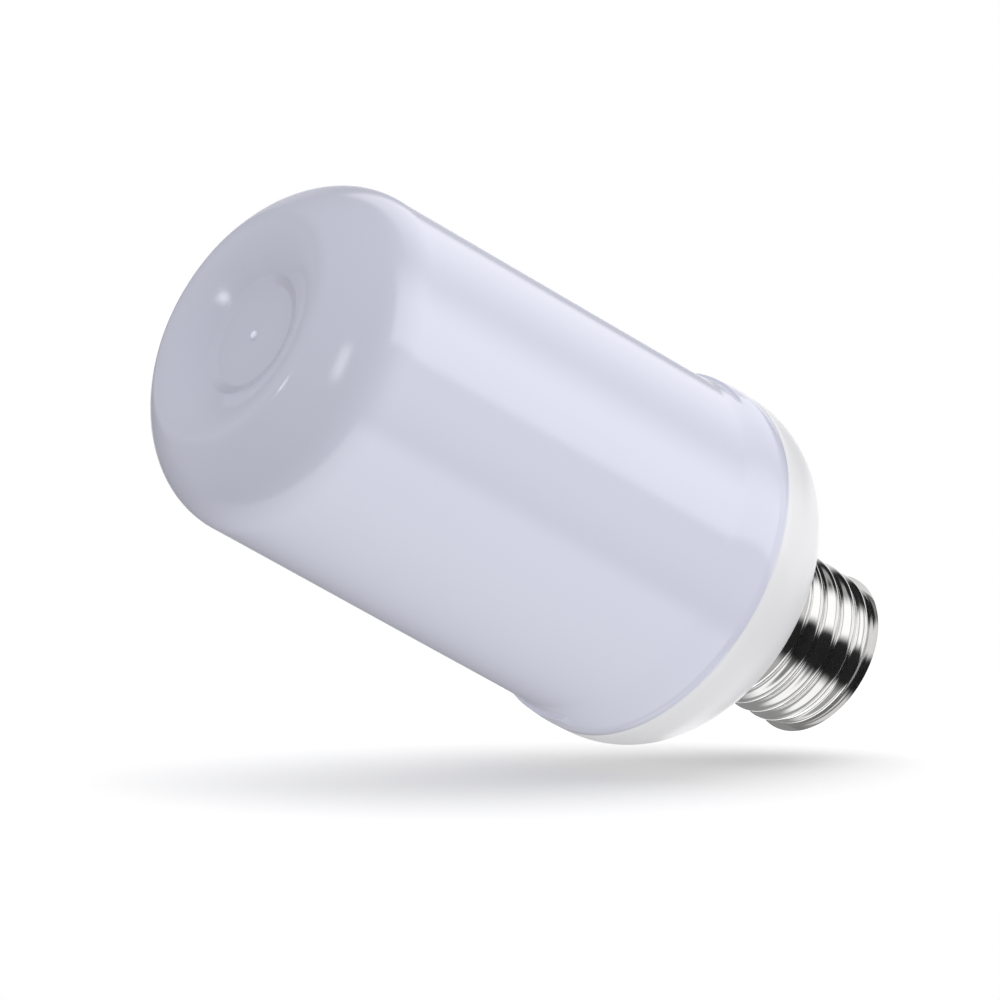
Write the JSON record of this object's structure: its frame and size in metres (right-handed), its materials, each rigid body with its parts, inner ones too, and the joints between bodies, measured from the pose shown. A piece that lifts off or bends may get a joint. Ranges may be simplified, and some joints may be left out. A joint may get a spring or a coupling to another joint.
{
  "type": "flame effect led bulb",
  "caption": "Screw-cap LED lamp with a milky cylindrical cover, dished end, white bowl housing and a rolled lamp sheet inside that plays a flame effect.",
  "frame": {"origin": "middle of the centre contact's flat tip, from which a screw-cap lamp's length is measured", "axes": "+Z along the bulb's axis, from the cap up to the milky dished end"},
  "size_m": [0.058, 0.058, 0.1254],
  "materials": {
    "milky_cover": "smooth milky polycarbonate",
    "white_housing": "smooth moulded white",
    "plated_shell": "bright nickel plate",
    "dark_insulator": "dark glassy insulator",
    "contact_metal": "plated brass",
    "inner_plastic": "plain moulded white",
    "lamp_board": "white solder mask",
    "led_body": "white frame with amber filling",
    "green_board": "green solder mask",
    "black_component": "moulded epoxy",
    "capacitor_sleeve": "shrunk sleeve",
    "film_box": "moulded box",
    "ferrite": "sintered ferrite",
    "enamelled_wire": "enamelled copper",
    "steel": "zinc plate",
    "tinned_wire": "tinned copper",
    "resistor_coat": "coated ceramic",
    "chip_ceramic": "ceramic chips"
  },
  "bodies": {
    "root": {"diffuser_cover": "milky_cover", "base_housing": "white_housing", "screw_shell": "plated_shell", "cap_insulator": "dark_insulator", "centre_contact": "contact_metal", "board_carrier": "inner_plastic", "carrier_screws": "steel", "core_tube": "inner_plastic", "led_sheet": "lamp_board", "sheet_leds": "led_body", "top_board": "lamp_board", "top_leds": "led_body", "top_board_screws": "steel", "driver_board": "green_board", "bulk_capacitor": "capacitor_sleeve", "input_capacitor": "film_box", "choke_core": "ferrite", "choke_winding": "enamelled_wire", "bridge_rectifier": "black_component", "driver_chip": "black_component", "effect_chip": "black_component", "tilt_switch": "steel", "chip_resistors": "chip_ceramic", "fuse_resistor": "resistor_coat", "neutral_lead": "tinned_wire", "sheet_pins": "tinned_wire"}
  },
  "joints": []
}
